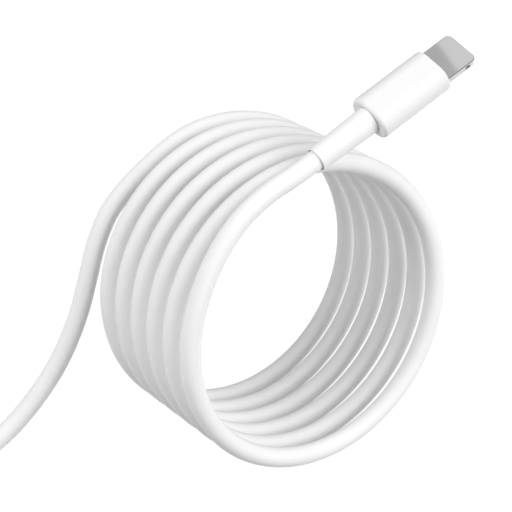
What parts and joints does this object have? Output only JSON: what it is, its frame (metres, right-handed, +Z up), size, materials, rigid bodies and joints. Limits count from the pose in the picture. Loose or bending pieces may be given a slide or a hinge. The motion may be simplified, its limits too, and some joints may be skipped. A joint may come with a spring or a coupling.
{
  "type": "charging cable",
  "caption": "Round white charging cord wound into an open standing coil, with a flat reversible device plug on one end and a rectangular USB plug on the other.",
  "frame": {"origin": "on the surface the cable stands on, under the middle of the two plugs", "axes": "+X from the USB plug's side to the device plug's side, +Y along the coil's axis from the first turn to the last, +Z up"},
  "size_m": [0.1858, 0.0371, 0.0716],
  "materials": {
    "tab_metal": "fine matt grey plating",
    "gold_contacts": "gold plated",
    "contact_plastic": "moulded",
    "circuit_board": "solder mask",
    "chip_black": "moulded",
    "capacitor_brown": "fired",
    "shield_steel": "tinned",
    "red_wire": "extruded",
    "black_wire": "extruded",
    "green_wire": "extruded",
    "white_wire": "extruded",
    "solder": "bright",
    "clear_mould": "milky",
    "crimp_metal": "stamped",
    "braid_metal": "tinned braid",
    "cord_white": "soft satin",
    "boot_white": "soft satin",
    "housing_white": "fine satin gloss",
    "usb_shell_steel": "nickel plated",
    "tongue_plastic": "moulded"
  },
  "bodies": {
    "root": {"chip_capacitors": "capacitor_brown", "contact_insulator": "contact_plastic", "contacts": "gold_contacts", "cord_braid_end": "braid_metal", "cord_coil": "cord_white", "cord_jacket_end": "cord_white", "cord_lead": "cord_white", "cord_tail": "cord_white", "crimp_ring": "crimp_metal", "data_minus_wire": "white_wire", "data_plus_wire": "green_wire", "ground_wire": "black_wire", "id_chip": "chip_black", "inner_mould": "clear_mould", "plug_circuit_board": "circuit_board", "plug_housing": "housing_white", "plug_strain_relief": "boot_white", "power_wire": "red_wire", "shield_shell_lower": "shield_steel", "shield_shell_upper": "shield_steel", "solder_joints": "solder", "tab_frame": "tab_metal", "usb_contacts": "gold_contacts", "usb_cord_braid_end": "braid_metal", "usb_cord_jacket_end": "cord_white", "usb_crimp_ring": "crimp_metal", "usb_data_minus_wire": "white_wire", "usb_data_plus_wire": "green_wire", "usb_ground_wire": "black_wire", "usb_housing": "housing_white", "usb_inner_mould": "clear_mould", "usb_insulator": "tongue_plastic", "usb_power_wire": "red_wire", "usb_shell": "usb_shell_steel", "usb_shield_lower": "shield_steel", "usb_shield_upper": "shield_steel", "usb_strain_relief": "boot_white"}
  },
  "joints": []
}
